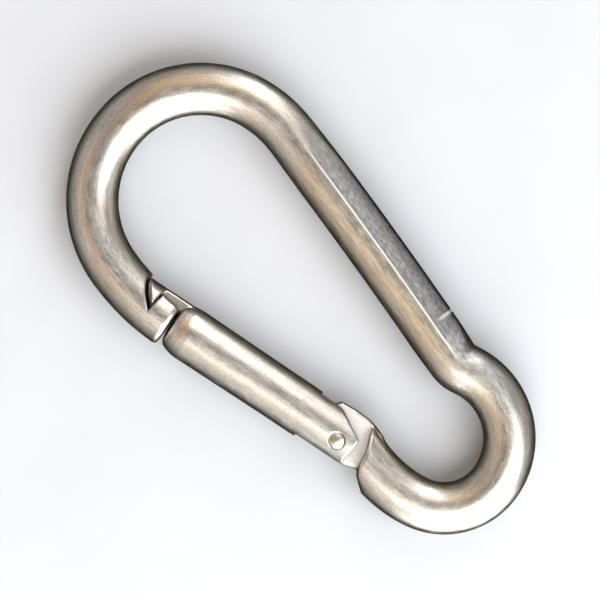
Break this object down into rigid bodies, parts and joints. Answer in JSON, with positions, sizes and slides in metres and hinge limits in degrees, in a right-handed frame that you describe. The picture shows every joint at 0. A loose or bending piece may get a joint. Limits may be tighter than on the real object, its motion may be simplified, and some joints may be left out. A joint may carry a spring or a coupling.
{
  "type": "spring snap hook",
  "caption": "Spring hook bent from round stainless rod: a large bow, a small eye and a sprung gate that swings inwards to let a ring or rope in.",
  "frame": {"origin": "centre of the closed hook's bounding box, in the plane of the rod's centreline", "axes": "+X runs lengthwise from the large bow to the small eye, +Y from the gate to the spine, +Z through the thickness of the hook lying flat"},
  "size_m": [0.12, 0.0578, 0.0114],
  "materials": {
    "polished_rod": "tumble-polished stainless steel with a warm tone and soft, wide highlights",
    "polished_bar": "tumble-polished stainless steel, slightly finer than the bent rod",
    "spring_steel": "bright drawn stainless wire and turned steel"
  },
  "bodies": {
    "hook": {"hook_body": "polished_rod"},
    "gate": {"gate": "polished_bar", "hinge_rivet": "polished_bar", "gate_spring": "spring_steel"},
    "plunger": {"plunger": "spring_steel"}
  },
  "joints": [
    {"name": "gate_hinge", "type": "hinge", "parent": "hook", "child": "gate", "pos_m": [0.02431, -0.0153, 0], "axis": [0, 0, -1], "range_deg": [0, 40], "stiffness_Nm_per_rad": 0.077, "springref_deg": -73.91},
    {"name": "plunger_slide", "type": "slide", "parent": "gate", "child": "plunger", "axis": [-0.9805, -0.1965, 0], "range_m": [0, 0.0022], "deforming": ["gate_spring"]}
  ],
  "couplings": [
    {"joint": "plunger_slide", "follows": "gate_hinge", "m_per_rad": 0.0031}
  ]
}
